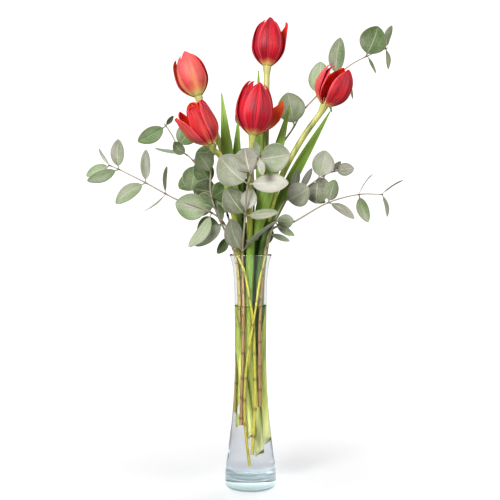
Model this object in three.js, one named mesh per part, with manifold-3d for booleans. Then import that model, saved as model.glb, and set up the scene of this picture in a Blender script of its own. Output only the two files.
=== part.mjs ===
// Five cut red tulips with their leaves and eight eucalyptus sprigs, standing in a slim glass vase of water.
// Millimetres, +Z up, +Y away from the front of the bouquet. The origin is the middle of the vase's foot,
// on the table. Every stem stands loose in the vase, so each piece is a solid of its own, and pieces that
// touch in life keep a gap of about 0.3 mm here.
import * as THREE from "three";
import { mergeVertices } from "three/addons/utils/BufferGeometryUtils.js";
import Module from "manifold-3d";

const wasm = await Module();
wasm.setup();

// ---------- driving dimensions ----------

const GAP = 0.3; // between pieces that touch
const VASE = {
  height: 270,
  wall: 2.2,
  floor: 9, // thickness of the heavy base
  sides: 32,
  // outer radius at each height, from the rounded foot over the slim waist to the flared lip
  outline: [
    [29.8, 9],
    [29.2, 20],
    [25.4, 47],
    [21.6, 80],
    [18.9, 120],
    [18.0, 160],
    [18.4, 205],
    [19.2, 240],
    [21.6, 260],
    [24.4, 270],
  ],
  footRadius: 25,
  heelRadius: 29,
  heelHeight: 4,
};
const WATER_LEVEL = 211;

const STEM = { foot: 4.0, top: 3.3, receptacle: 4.9, neck: 9, sides: 8, steps: 15 };
const TEPAL = { thickness: 0.9, rows: 8, columns: 5, rootRadius: 4.6, innerStep: 1.8 };
const HEART = { ovary: 2.6, ovaryHeight: 17, stigma: 3.2, filament: 0.5, anther: 0.9, antherHeight: 14 };
const BLADE = { thickness: 1.1, rows: 8, columns: 4 };
const TWIG = { sides: 6, steps: 15 };
const EUCALYPTUS_LEAF = {
  thickness: 0.7,
  petiole: 1.4,
  petioleShare: 0.12,
  stations: [0, 0.12, 0.34, 0.62, 0.86],
};

// ---------- materials ----------

const finish = (color, roughness, extra = {}) =>
  new THREE.MeshStandardMaterial({ color, roughness, metalness: 0, ...extra });
const GLASS = finish(0xe6f2ef, 0.05, { transparent: true, opacity: 0.35 });
const WATER = finish(0xf2f6f0, 0.05, { transparent: true, opacity: 0.3 });
const PETAL = finish(0xc4132c, 0.45);
const STEM_GREEN = finish(0xa9b25a, 0.5);
const BLADE_GREEN = finish(0x6f9a2e, 0.5);
const HEART_YELLOW = finish(0xd8c463, 0.7);
const EUCALYPTUS = finish(0x8d9c8a, 0.65);

// ---------- shared shapes ----------

const at = (p) => new THREE.Vector3(...p);
const UP = new THREE.Vector3(0, 0, 1);
const FRONT = new THREE.Vector3(0, -1, 0);

/** The part of v that is square to the unit vector along, at length 1. */
const squareTo = (v, along) => v.clone().addScaledVector(along, -v.dot(along)).normalize();

/** A closed skin over loops of points. Each loop has the same even count and runs anticlockwise about the
 * way of travel. The first loop is capped by a strip, and the last by the point tip or by a strip. */
function loft(loops, tip) {
  const n = loops[0].length;
  const points = [...loops.flat(), ...(tip ? [tip] : [])];
  const index = [];
  for (let row = 0; row + 1 < loops.length; row++)
    for (let i = 0; i < n; i++) {
      const a = row * n + i;
      const b = row * n + ((i + 1) % n);
      index.push(a, b, b + n, a, b + n, a + n);
    }
  const last = (loops.length - 1) * n;
  const strip = (first, upward) => {
    for (let k = 0; k < n / 2; k++) {
      const [a, b, c, d] = [k, k + 1, n - k - 1, (n - k) % n].map((i) => first + i);
      if (b !== c) index.push(...(upward ? [a, b, c] : [a, c, b]));
      if (a !== d) index.push(...(upward ? [a, c, d] : [a, d, c]));
    }
  };
  strip(0, false);
  if (tip) for (let i = 0; i < n; i++) index.push(last + i, last + ((i + 1) % n), points.length - 1);
  else strip(last, true);
  const geometry = new THREE.BufferGeometry().setFromPoints(points);
  return geometry.setIndex(index);
}

/** A round stem along a smooth curve through the route; radiusAt gives its radius from foot 0 to end 1. */
function stemAlong(route, radiusAt, sides, steps) {
  const curve = new THREE.CatmullRomCurve3(route.map(at), false, "centripetal");
  const loops = [];
  for (let row = 0; row <= steps; row++) {
    const along = curve.getTangentAt(row / steps);
    const across = squareTo(FRONT, along);
    const centre = curve.getPointAt(row / steps);
    loops.push(
      Array.from({ length: sides }, (_, i) =>
        across
          .clone()
          .applyAxisAngle(along, (2 * Math.PI * i) / sides)
          .multiplyScalar(radiusAt(row / steps))
          .add(centre),
      ),
    );
  }
  return loft(loops);
}

/** A thin shell, sharp at its two sides: skin(t, s) is its outer face, t 0 to 1 up and s -1 to 1 across
 * (anticlockwise), and inward(t, s) is the way from that face to the other one, at full thickness. */
function shell({ rows, columns, skin, inward, tip }) {
  const loops = [];
  for (let row = 0; row < rows; row++) {
    const t = row / rows;
    const outer = [];
    const inner = [];
    for (let i = 0; i <= columns; i++) {
      const s = (2 * i) / columns - 1;
      outer.push(skin(t, s));
      if (i > 0 && i < columns) inner.unshift(skin(t, s).add(inward(t, s)));
    }
    loops.push([...outer, ...inner]);
  }
  return loft(loops, tip);
}

// ---------- solids for joining and cutting ----------

function solidOf(geometry) {
  const bare = new THREE.BufferGeometry().setAttribute("position", geometry.getAttribute("position"));
  const merged = mergeVertices(geometry.index ? bare.setIndex(geometry.index) : bare, 1e-3);
  return new wasm.Manifold(
    new wasm.Mesh({
      numProp: 3,
      vertProperties: merged.getAttribute("position").array,
      triVerts: new Uint32Array(merged.index.array),
    }),
  );
}

function geometryOf(solid) {
  const { vertProperties, triVerts } = solid.getMesh();
  return new THREE.BufferGeometry()
    .setAttribute("position", new THREE.BufferAttribute(vertProperties, 3))
    .setIndex(new THREE.BufferAttribute(triVerts, 1));
}

// ---------- the vase and its water ----------

/** Radii and heights up the outside of the glass, with the wall's thickness taken off where inset is set. */
function vaseWall(inset, from, to, count) {
  const wall = new THREE.SplineCurve(VASE.outline.map(([r, z]) => new THREE.Vector2(r, z)));
  return wall
    .getPoints(count)
    .filter(({ y }) => y >= from && y <= to)
    .map(({ x, y }) => new THREE.Vector2(x - inset, y));
}

const turned = (profile, sides) => new THREE.LatheGeometry(profile, sides).rotateX(Math.PI / 2);

function vaseShape() {
  const outside = vaseWall(0, 0, VASE.height, 13);
  const inside = vaseWall(VASE.wall, VASE.floor + 6, VASE.height, 13).reverse();
  const floorEdge = inside[inside.length - 1].x;
  return turned(
    [
      new THREE.Vector2(0, 0),
      new THREE.Vector2(VASE.footRadius, 0),
      new THREE.Vector2(VASE.heelRadius, VASE.heelHeight),
      ...outside,
      ...inside,
      new THREE.Vector2(floorEdge - 3, VASE.floor + 1),
      new THREE.Vector2(0, VASE.floor),
    ],
    VASE.sides,
  );
}

/** The water: the inside of the vase up to the water level, less a channel for each stem in it. */
function waterShape(channels) {
  const inset = VASE.wall + GAP;
  const wall = vaseWall(inset, VASE.floor + 6, WATER_LEVEL, 13);
  const body = turned(
    [
      new THREE.Vector2(0, VASE.floor + GAP),
      new THREE.Vector2(wall[0].x - 3, VASE.floor + 1 + GAP),
      ...wall,
      new THREE.Vector2(wall[wall.length - 1].x, WATER_LEVEL),
      new THREE.Vector2(0, WATER_LEVEL),
    ],
    VASE.sides,
  );
  return geometryOf(channels.reduce((left, channel) => left.subtract(channel), solidOf(body)));
}

// ---------- tulips ----------

// Each tulip: its stem's route from the foot to the flower, the way the flower faces, its length, the
// radius of its cup at the widest place and at the tips, and its six tepals. A tepal has the direction it
// stands in, seen from above and counted from the front towards the right, how far it has opened and curled
// outwards, all in degrees, and how far up the flower it reaches.
const tepal = (turn, open = 0, curl = 0, reach = 1) => ({ turn, open, curl, reach });
const TULIPS = {
  top: {
    route: [[5, 13, 45], [4, 11, 105], [3.7, 9.2, 150], [3.8, 8.8, 210], [8, 9, 275], [17, 16, 380],
      [19.4, 24, 488.5]],
    axis: [0.05, 0.04, 1],
    length: 56,
    belly: 19.5,
    mouth: 7.5,
    outer: [tepal(4), tepal(116, 2, 13, 1.02), tepal(-114, 0, 0, 0.95)],
    inner: [tepal(-54, 0, 0, 0.96), tepal(62, 0, 0, 0.95), tepal(188, 0, 0, 0.95)],
  },
  upper_left: {
    route: [[-6, 13, 66], [-6, 10.5, 105], [-6, 9.5, 150], [-5.5, 9, 210], [-9, 9.5, 275],
      [-30, 20, 380], [-51, 28, 433], [-61.5, 31, 454.5]],
    axis: [-0.34, 0.04, 1],
    length: 54,
    belly: 19,
    mouth: 7.5,
    outer: [tepal(8), tepal(126, 0, 0, 0.97), tepal(-114, 2, 4, 0.93)],
    inner: [tepal(-54, 0, 0, 0.94), tepal(66, 0, 0, 0.95), tepal(186, 0, 0, 0.96)],
  },
  lower_left: {
    route: [[1, -8, 57], [-4.5, -5.5, 105], [-9.5, -1.8, 150], [-11, 0, 200], [-14.3, -4, 272],
      [-25, -18, 355], [-35, -28, 383], [-44.5, -34, 395]],
    axis: [-0.48, -0.3, 0.95],
    length: 50,
    belly: 18,
    mouth: 12.5,
    outer: [tepal(60), tepal(-62, 10, 3, 0.96), tepal(178, 6, 4)],
    inner: [tepal(0, 0, 0, 0.98), tepal(120, 0, 0, 0.95), tepal(-118, 8, 0, 0.96)],
  },
  middle: {
    route: [[8, 2, 34], [2.5, 1, 105], [-1, -1, 150], [-2.5, -1.8, 205], [-1, -7, 275], [-1, -24, 360],
      [2.5, -30, 405]],
    axis: [0.11, -0.06, 1],
    length: 60,
    belly: 22,
    mouth: 8.5,
    outer: [tepal(10, 0, 0, 0.98), tepal(128, 20, 12, 0.88), tepal(-110, 1, 0, 1)],
    inner: [tepal(-50, 0, 0, 1), tepal(70, 0, 0, 0.95), tepal(190, 0, 0, 0.96)],
  },
  right: {
    route: [[15.5, 4, 48], [12.5, 3, 105], [11, 1.5, 150], [10.8, 0.6, 205], [14, 1, 270], [31, -2, 348],
      [60, -6, 404], [84, -8, 440]],
    axis: [0.46, -0.12, 0.9],
    length: 48,
    belly: 20.5,
    mouth: 10,
    outer: [tepal(34), tepal(-86, 4, 0, 0.98), tepal(154, 3, 0, 1)],
    inner: [tepal(86, 0, 0, 0.96), tepal(180), tepal(-82, 2, 0, 0.94)],
  },
};

/** The flower's own frame: base on top of the stem, up along the flower, and the front and right of it. */
function flowerFrame({ route, axis }) {
  const up = at(axis).normalize();
  const front = squareTo(FRONT, up);
  const base = at(route[route.length - 1]).addScaledVector(up, GAP);
  return { up, front, right: up.clone().cross(front), base };
}

const stemRadius = (t) =>
  THREE.MathUtils.lerp(STEM.foot, STEM.top, t) +
  (STEM.receptacle - STEM.top) * THREE.MathUtils.smoothstep(t, 0.97, 1);

/** The stem's route, with its last stretch in line with the flower. */
function stemRoute({ route, axis }) {
  const end = at(route[route.length - 1]);
  const neck = end.clone().addScaledVector(at(axis).normalize(), -STEM.neck);
  return [...route.slice(0, -1), neck.toArray(), end.toArray()];
}

const tulipStemShape = (tulip, grow) =>
  stemAlong(stemRoute(tulip), (t) => stemRadius(t) + grow, STEM.sides, STEM.steps);

/** The cup's radius at a share t of its height: it swells quickly to the belly and closes in to the mouth. */
function cupRadius({ belly, mouth }, root, t) {
  const bellyAt = 0.42;
  if (t < bellyAt) return root + (belly - root) * Math.sin((Math.PI / 2) * (t / bellyAt)) ** 0.8;
  return mouth + (belly - mouth) * Math.cos((Math.PI / 2) * ((t - bellyAt) / (1 - bellyAt))) ** 0.62;
}

/** Half the angle that a tepal spans round the cup: narrow at the root, widest at the belly, round-tipped. */
const tepalSpan = (t) => THREE.MathUtils.degToRad(25 + 21 * Math.sin(Math.PI * Math.min(1, t / 0.9)) ** 0.7);

/** How wide a tepal is there, as a share of its span, so that the sides run together at the tip. */
const tipTaper = (t) => (1 - Math.max(0, 2 * t - 1) ** 3) ** 0.55;

/** Rows close up towards the tip, where the outline turns quickly. */
const towardsTip = (t) => 1 - (1 - t) ** 1.5;

function tepalShape(tulip, { turn, open, curl, reach }, inner) {
  const { up, front, right, base } = flowerFrame(tulip);
  const turned = THREE.MathUtils.degToRad(turn);
  const out = front.clone().multiplyScalar(Math.cos(turned)).addScaledVector(right, Math.sin(turned));
  const side = up.clone().cross(out);
  const root = TEPAL.rootRadius - (inner ? TEPAL.innerStep : 0);
  const size = inner ? { belly: tulip.belly - TEPAL.innerStep, mouth: tulip.mouth - TEPAL.innerStep } : tulip;
  const length = tulip.length * reach;
  const place = (t, s, lift) => {
    const angle = s * tepalSpan(t) * tipTaper(t);
    const radius = cupRadius(size, root, t) + lift;
    const [x, y, z] = [radius * Math.cos(angle) - root, radius * Math.sin(angle), length * t];
    const bend = THREE.MathUtils.degToRad(open * Math.min(1, 2 * t) + curl * Math.max(0, t - 0.4) ** 1.5 * 2);
    return base
      .clone()
      .addScaledVector(out, root + x * Math.cos(bend) + z * Math.sin(bend))
      .addScaledVector(side, y)
      .addScaledVector(up, z * Math.cos(bend) - x * Math.sin(bend));
  };
  return shell({
    ...TEPAL,
    skin: (t, s) => place(towardsTip(t), s, 0),
    inward: (t, s) => place(towardsTip(t), s, -TEPAL.thickness).sub(place(towardsTip(t), s, 0)),
    tip: place(1, 0, 0),
  });
}

/** The pistil with six stamens round it, joined at the foot. */
function heartShape(tulip) {
  const { up, front, base } = flowerFrame(tulip);
  const ray = (radius, height, turn) =>
    base.clone().addScaledVector(up, height).addScaledVector(front.clone().applyAxisAngle(up, turn), radius);
  const pistil = stemAlong(
    [ray(0, 0, 0), ray(0, HEART.ovaryHeight * 0.5, 0), ray(0, HEART.ovaryHeight, 0)].map((p) => p.toArray()),
    (t) => (t > 0.9 ? HEART.stigma : 1.9 + (HEART.ovary - 1.9) * Math.sin(Math.PI * t)),
    6,
    3,
  );
  let heart = solidOf(pistil);
  for (let i = 0; i < 6; i++) {
    const turn = (i * Math.PI) / 3;
    const stamen = stemAlong(
      [ray(1.2, 1, turn), ray(4.6, 6, turn), ray(5.4, HEART.antherHeight, turn)].map((p) => p.toArray()),
      (t) => (t > 0.6 ? HEART.anther : HEART.filament),
      3,
      3,
    );
    heart = heart.add(solidOf(stamen));
  }
  return geometryOf(heart);
}

// ---------- the tulips' long leaves ----------

// Each leaf: the way it runs from its foot to its tip, its width at the widest place, the share of its
// length where that is, and how far its face is turned from the front, in degrees.
const BLADES = {
  upper_left: { route: [[-12.5, 1.8, 298], [-21, 2, 340], [-26, 7, 380], [-33.5, 14, 456]],
    width: 17, turn: 5 },
  lower_left: { route: [[-12, 15, 292], [-16, 20, 330], [-17, 24, 370], [-14.5, 28, 427]],
    width: 17, turn: -20 },
  middle: { route: [[5, -9.5, 286], [14, -11, 325], [29, -6, 380], [45, 2, 441]], width: 17, turn: 0 },
  right: { route: [[23, 6, 300], [33, 6.5, 325], [55, 9, 370], [93.5, 13, 437]], width: 14, turn: 10 },
  back: { route: [[-24, 27, 339], [-30, 34, 368], [-27, 41, 400], [-34, 44, 432]], width: 15, turn: 12 },
  top: { route: [[12, 14.5, 300], [14, 20, 335], [11.5, 28, 401], [9, 31, 484]], width: 14, turn: 14 },
};

function bladeShape({ route, width, turn }) {
  const curve = new THREE.CatmullRomCurve3(route.map(at), false, "centripetal");
  const face = THREE.MathUtils.degToRad(turn);
  const place = (t, s, lift) => {
    const along = curve.getTangentAt(t);
    const out = squareTo(FRONT, along).applyAxisAngle(along, face);
    const half = (width / 2) * (0.3 + 0.7 * Math.sin(Math.PI * t ** 0.75) ** 0.8) * Math.sqrt(1 - t ** 3);
    const fold = width * 0.22 * s * s; // the sides stand up from the midrib like a shallow gutter
    return curve
      .getPointAt(t)
      .addScaledVector(along.clone().cross(out), s * half)
      .addScaledVector(out, lift - fold * (1 - t));
  };
  return shell({
    ...BLADE,
    skin: (t, s) => place(t, s, 0),
    inward: (t, s) => place(t, s, -BLADE.thickness).sub(place(t, s, 0)),
    tip: curve.getPointAt(1),
  });
}

// ---------- eucalyptus ----------

// Each sprig: its twig's route from the foot, the twig's radius at both ends, and its leaves. A leaf is
// [share of the twig's length where it grows, [way from there to its tip], width, turn], and turn is how
// far its face is turned from the front, in degrees.
const SPRIGS = {
  front: {
    route: [[-9.5, -9.5, 74], [-9, -9.7, 110], [-7.8, -9.7, 160], [-7.8, -9.6, 215], [-9, -9.3, 255],
      [-9.3, -12, 272],
      [-6, -26, 314], [-3, -37, 350], [10, -44, 383]],
    radius: [2.1, 0.9],
    leaves: [
      [0.1, [-4, 0, -21], 7, 30],
      [0.63, [-13, -22, 38], 23, 15],
      [0.63, [41, -24, 37], 16, 70],
      [0.77, [-22, -9, 30], 28, 10],
      [0.77, [36, -18, 3], 18, -50],
      [0.785, [7, 1, 25], 19, 0],
      [0.885, [-31, -7, 30], 37, 5],
      [0.885, [45, -9, 1], 24, -25],
      [0.92, [-7, 3, 30], 35, 0],
      [0.98, [36, 3, 6], 33, 10],
      [0.99, [-5, -6, 16], 9, 20],
      [0.99, [4, -12, -21], 9, 10],
    ],
  },
  left: {
    route: [[1.5, -16, 41], [3, -14.6, 65], [5, -12, 105], [4, -9.4, 150], [2.5, -9, 195],
      [-1.5, -11.8, 222], [-8, -14.3, 255],
      [-16, -15, 272], [-31, -19, 307], [-46, -22, 319], [-81, -30, 332], [-116, -37, 351],
        [-145.5, -43, 366], [-157, -45, 371]],
    radius: [1.9, 0.6],
    leaves: [
      [0.65, [-32, -10, -25], 17, -10],
      [0.655, [-5, -8, 20], 9, 30],
      [0.7, [-38, -12, 10], 31, 5],
      [0.695, [-25, -14, -38], 17, 30],
      [0.83, [1, 8, 31], 14, 75],
      [0.83, [-23, -8, -19], 14, 80],
      [0.89, [0, 4, 37], 13.5, 35],
      [0.89, [-33, -5, -23], 17, -15],
      [0.97, [0, -3, 33], 15.5, 10],
      [0.97, [-34, -6, -13], 15, -30],
      [0.995, [-27, 5, -11], 15, 20],
      [0.995, [-12.5, 3, 19], 8, 70],
    ],
  },
  right: {
    route: [[9, -8, 95], [9.5, -8.5, 140], [9.6, -8.8, 190], [13, -6.3, 243], [17.5, -5.5, 278],
      [25, -6, 299], [46, -13, 306],
      [87, -20, 329], [121.5, -28, 338.5], [148, -34, 338.5]],
    radius: [2.2, 0.6],
    leaves: [
      [0.585, [23, -6, -8], 7, 0],
      [0.815, [29, -4, -18], 11, 20],
      [0.815, [8, 6, 26], 18, 15],
      [0.92, [10, -3, -31], 14, 0],
      [0.92, [16, 6, 23], 8, 80],
      [0.995, [24, 2, 16], 9, 75],
      [0.995, [6, -2, -25], 9, 65],
    ],
  },
  cluster: {
    route: [[-1, -13, 27], [-5, -13.5, 65], [-6.5, -13.4, 100], [-4, -13, 146], [2.5, -13.2, 190],
      [6, -13.2, 212], [9.8, -12, 240],
      [17, -11, 271], [29, -10, 312], [39, -5, 331], [58.5, 5, 343], [79, 14, 357], [93.5, 19, 364.5],
        [110, 22, 368]],
    radius: [1.5, 0.7],
    leaves: [
      [0.715, [22, -14, -15], 9, 0],
      [0.72, [21, -9, 0], 17, 0],
      [0.785, [27, -7, 15], 29, -5],
      [0.815, [5, -9, 30], 13, 30],
      [0.845, [12, -9, 26], 12, 45],
      [0.855, [26, 6, -15], 12, -20],
      [0.912, [8, -3, 33], 27, 0],
      [0.91, [-3, -12, -28], 28, 0],
      [0.935, [-3, 9, -28], 20, 20],
      [0.965, [8, -4, 12], 9, 40],
      [0.97, [22, -3, 3], 16, 10],
    ],
  },
  upper_right: {
    route: [[10.5, 9.5, 90], [10.5, 8.3, 145], [10.4, 8.3, 215], [15, 11, 270], [34, 26, 390],
      [49.5, 31, 416], [62.5, 36, 438], [77, 41, 454],
      [100, 47, 477], [119.5, 53, 493.5], [141.5, 58, 505.5], [164.5, 62, 515]],
    radius: [1.9, 0.6],
    leaves: [
      [0.685, [-8, -5, 39], 34, 0],
      [0.78, [5, 5, 41], 28, -10],
      [0.8, [12, 5, -26], 8, 75],
      [0.848, [5, 3, 47], 20, 0],
      [0.872, [12, 3, -33], 9, 70],
      [0.94, [14, -7, 35], 34, 0],
      [0.945, [11, 5, -20], 8, 75],
      [0.995, [8, 3, 28], 15, 50],
      [0.995, [3, -3, -25], 9, 60],
    ],
  },
  upper_left: {
    route: [[-12, 9, 85], [-11.6, 6.8, 145], [-11.6, 6.8, 212], [-17, 9, 270], [-33, 22, 332],
      [-53, 30, 361], [-71, 36, 382], [-83.5, 40, 392],
      [-95, 45, 412], [-103, 49, 423.5]],
    radius: [1.9, 0.7],
    leaves: [
      [0.7, [-30, -12, 6], 29, 5],
      [0.74, [-19, -5, 25], 25, 0],
      [0.8, [-25, -12, -22], 24, 10],
      [0.83, [-4, -16, -33], 27, -5],
      [0.84, [26, -14, 15], 18, 15],
      [0.87, [-14, -12, 14], 14, 10],
      [0.885, [-32, -8, 4], 14, 70],
      [0.91, [18, 4, 29], 26, 0],
      [0.99, [-33, -4, -19], 20, 5],
      [0.99, [9, -2, 12], 8, 50],
    ],
  },
  lower_left: {
    route: [[-11, -6.9, 190], [-12.2, -7.4, 225], [-13.3, -7.5, 245], [-15.2, -8.4, 260],
      [-18.6, -8, 273], [-27, -2, 292],
      [-38, 4, 315], [-46, 8, 340], [-46, 14, 366], [-40, 41, 402]],
    radius: [1.6, 0.8],
    leaves: [
      [0.45, [-12, 4, -20], 12, 20],
      [0.52, [-28, -5, -8], 29, 0],
      [0.57, [9, 12, 26], 27, -10],
      [0.61, [-26, 6, 6], 28, 0],
      [0.66, [20, 2, 16], 25, 10],
      [0.79, [-15, -14, 23], 23, 0],
      [0.985, [-17, 5, 40], 22, 5],
    ],
  },
  back: {
    route: [[-0.8, 13.2, 150], [-0.8, 13.3, 215], [0, 17, 270], [4, 30, 330], [2, 42, 380], [-2, 50, 421]],
    radius: [1.8, 0.8],
    leaves: [
      [0.5, [-24, 10, 14], 28, 10],
      [0.5, [26, 8, 8], 28, -10],
      [0.66, [-16, 12, 28], 26, 0],
      [0.66, [22, 10, 18], 28, 0],
      [0.82, [-22, 10, 18], 24, -20],
      [0.82, [20, -3, 24], 24, 20],
      [0.985, [-12, 4, 26], 20, 0],
      [0.985, [16, 5, 18], 18, 30],
    ],
  },
};

function eucalyptusLeafShape(foot, [dx, dy, dz], width, turn, grow) {
  const way = new THREE.Vector3(dx, dy, dz);
  const length = way.length() + grow;
  way.normalize();
  const face = squareTo(FRONT, way).applyAxisAngle(way, THREE.MathUtils.degToRad(turn));
  const side = face.clone().cross(way);
  const droop = (t) => -0.25 * length * t * (1 - t);
  const rib = (t) => foot.clone().addScaledVector(way, length * t).addScaledVector(face, droop(t));
  const { thickness, petiole, petioleShare, stations } = EUCALYPTUS_LEAF;
  const loops = stations.map((t) => {
    const blade = Math.max(0, (t - petioleShare) / (1 - petioleShare));
    const half = Math.max(petiole / 2, (width / 2) * Math.sin(Math.PI * blade ** 0.9) ** 0.6) + 2 * grow;
    return [
      rib(t).addScaledVector(side, half),
      rib(t).addScaledVector(face, thickness / 2 + grow),
      rib(t).addScaledVector(side, -half),
      rib(t).addScaledVector(face, -thickness / 2 - grow),
    ];
  });
  return loft(loops, rib(1));
}

/** The middle of the twig at a share of its length, on the straight stretch between two of its rings. */
function twigMiddle(route, share) {
  const curve = new THREE.CatmullRomCurve3(route.map(at), false, "centripetal");
  const ring = Math.min(TWIG.steps - 1, Math.floor(share * TWIG.steps));
  const [from, to] = [ring, ring + 1].map((i) => curve.getPointAt(i / TWIG.steps));
  return from.lerp(to, share * TWIG.steps - ring);
}

/** A sprig as one solid, or, with grow, the channel of that clearance round the part that stands in water. */
function sprigSolid({ route, radius: [foot, end], leaves }, grow = 0) {
  const radiusAt = (t) => THREE.MathUtils.lerp(foot, end, t) + grow;
  let sprig = solidOf(stemAlong(route, radiusAt, TWIG.sides, TWIG.steps));
  for (const [share, way, width, turn] of leaves) {
    const node = twigMiddle(route, share);
    if (grow && node.z > WATER_LEVEL) continue;
    sprig = sprig.add(solidOf(eucalyptusLeafShape(node, way, width, turn, grow)));
  }
  return sprig;
}

// ---------- the assembly ----------

const bouquet = new THREE.Group();
function add(name, geometry, material) {
  const mesh = new THREE.Mesh(geometry, material);
  mesh.name = name;
  bouquet.add(mesh);
}

add("vase", vaseShape(), GLASS);

const channels = [];
for (const [name, tulip] of Object.entries(TULIPS)) {
  add(`tulip_${name}_stem`, tulipStemShape(tulip, 0), STEM_GREEN);
  channels.push(solidOf(tulipStemShape(tulip, GAP)));
  tulip.outer.forEach((tepal, i) =>
    add(`tulip_${name}_outer_tepal_${i + 1}`, tepalShape(tulip, tepal, false), PETAL));
  tulip.inner.forEach((tepal, i) =>
    add(`tulip_${name}_inner_tepal_${i + 1}`, tepalShape(tulip, tepal, true), PETAL));
  add(`tulip_${name}_pistil_and_stamens`, heartShape(tulip), HEART_YELLOW);
}
for (const [name, blade] of Object.entries(BLADES)) add(`tulip_leaf_${name}`, bladeShape(blade), BLADE_GREEN);
for (const [name, sprig] of Object.entries(SPRIGS)) {
  add(`eucalyptus_${name}_sprig`, geometryOf(sprigSolid(sprig)), EUCALYPTUS);
  channels.push(sprigSolid(sprig, GAP));
}
add("water", waterShape(channels), WATER);

export default bouquet;
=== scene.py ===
# %% [markdown]
# # Red tulips and eucalyptus in a glass vase
# This lesson dresses a measured model of a bouquet: five red tulips, six of their long leaves, eight
# sprigs of round-leaved eucalyptus, and the slim glass vase of water that they stand in. The measured
# model is loaded first. It fixes where everything is and how big it is, and every piece made here takes
# the place of one of its nodes.

# %% Load the measured model
import math
import random

import bpy
from mathutils import Matrix, Vector


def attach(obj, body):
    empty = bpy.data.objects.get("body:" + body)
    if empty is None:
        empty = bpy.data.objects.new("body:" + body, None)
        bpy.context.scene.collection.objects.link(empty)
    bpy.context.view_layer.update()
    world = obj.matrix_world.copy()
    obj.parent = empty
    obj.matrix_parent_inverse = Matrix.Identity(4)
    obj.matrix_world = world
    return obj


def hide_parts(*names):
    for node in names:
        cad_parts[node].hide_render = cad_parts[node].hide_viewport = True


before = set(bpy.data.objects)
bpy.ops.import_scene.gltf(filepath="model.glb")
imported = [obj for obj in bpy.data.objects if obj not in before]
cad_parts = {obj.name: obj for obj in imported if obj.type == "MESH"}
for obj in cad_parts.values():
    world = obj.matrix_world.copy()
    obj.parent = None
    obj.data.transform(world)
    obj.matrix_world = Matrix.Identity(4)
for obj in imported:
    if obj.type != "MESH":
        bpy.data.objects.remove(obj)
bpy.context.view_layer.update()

MM = 0.001

# %% [markdown]
# ## Small helpers
# Blender's operators act on whatever is selected, so each piece starts by deselecting everything. A
# finished piece is named, dressed, and tied to the frame in one go by `settle`.

# %% Selecting and settling
def clear():
    """Leaves edit mode and deselects everything."""
    if bpy.context.object and bpy.context.object.mode != "OBJECT":
        bpy.ops.object.mode_set(mode="OBJECT")
    bpy.ops.object.select_all(action="DESELECT")


def pick(*objects):
    """Selects these objects, the first one active."""
    clear()
    for obj in objects:
        obj.select_set(True)
    bpy.context.view_layer.objects.active = objects[0]


def settle(obj, name, slot, node, *materials):
    """Names and dresses a finished piece, and puts it in the place of a node of the measured model."""
    obj.name = obj.data.name = name
    if materials:
        obj.data.materials.clear()
        for material in materials:
            obj.data.materials.append(material)
    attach(obj, "root")
    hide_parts(node)
    return obj


def apply_modifier(obj, kind, **settings):
    """Adds a modifier to obj, which has to be the active object, and applies it."""
    modifier = obj.modifiers.new(kind.title(), kind)
    for key, value in settings.items():
        setattr(modifier, key, value)
    bpy.ops.object.modifier_apply(modifier=modifier.name)


def mark(mesh, name, value):
    """Stores one number per vertex as an attribute. value is a number, or a list with one per vertex."""
    values = value if isinstance(value, list) else [value] * len(mesh.vertices)
    mesh.attributes.new(name, "FLOAT", "POINT").data.foreach_set("value", values)


# %% [markdown]
# ## Smooth lines through space
# Stems, twigs and long leaves all follow a smooth line through a few places. A centripetal Catmull-Rom
# curve passes through each of them, and is then cut into even steps.

# %% A smooth line
def course(places, steps=160, fine=16):
    """Evenly spaced points on a smooth line through places in mm. fine is the steps between two of them."""
    knots = [Vector(p) * MM for p in places]
    knots = [2 * knots[0] - knots[1], *knots, 2 * knots[-1] - knots[-2]]
    dense = []
    for a, b, c, d in zip(knots, knots[1:], knots[2:], knots[3:]):
        ta, tb = 0.0, (b - a).length ** 0.5
        tc = tb + (c - b).length ** 0.5
        td = tc + (d - c).length ** 0.5
        spans = ((a, b, ta, tb), (b, c, tb, tc), (c, d, tc, td))
        for k in range(fine):
            t = tb + (tc - tb) * k / fine
            ab, bc, cd = (p.lerp(q, (t - tp) / (tq - tp)) for p, q, tp, tq in spans)
            abc, bcd = ab.lerp(bc, (t - ta) / (tc - ta)), bc.lerp(cd, (t - tb) / (td - tb))
            dense.append(abc.lerp(bcd, (t - tb) / (tc - tb)))
    dense.append(knots[-2])
    reach = [0.0]
    for p, q in zip(dense, dense[1:]):
        reach.append(reach[-1] + (q - p).length)
    line, i = [], 0
    for k in range(steps + 1):
        goal = reach[-1] * k / steps
        while i < len(dense) - 2 and reach[i + 1] < goal:
            i += 1
        line.append(dense[i].lerp(dense[i + 1], (goal - reach[i]) / (reach[i + 1] - reach[i])))
    return line


def on(line, share):
    """The point at a share of the line's length."""
    k = min(max(share, 0) * (len(line) - 1), len(line) - 1.001)
    return line[int(k)].lerp(line[int(k) + 1], k - int(k))


def heading(line, share):
    """The unit direction of the line there."""
    return (on(line, min(1, share + 0.01)) - on(line, max(0, share - 0.01))).normalized()


def square_to(v, along):
    """The part of v square to the unit vector along, at length 1."""
    return (v - along * v.dot(along)).normalized()


def turned_about(v, axis, degrees):
    return Matrix.Rotation(math.radians(degrees), 3, axis) @ v


def smoothstep(x, a, b):
    """0 below a, 1 above b, and an S between them."""
    k = min(1, max(0, (x - a) / (b - a)))
    return k * k * (3 - 2 * k)


def even(count):
    """This many numbers in even steps from 0 to 1."""
    return [i / (count - 1) for i in range(count)]


FRONT = Vector((0, -1, 0))
print("length of a test line in mm:", round((on(course([(0, 0, 0), (0, 0, 100)]), 1)).length / MM))

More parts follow.
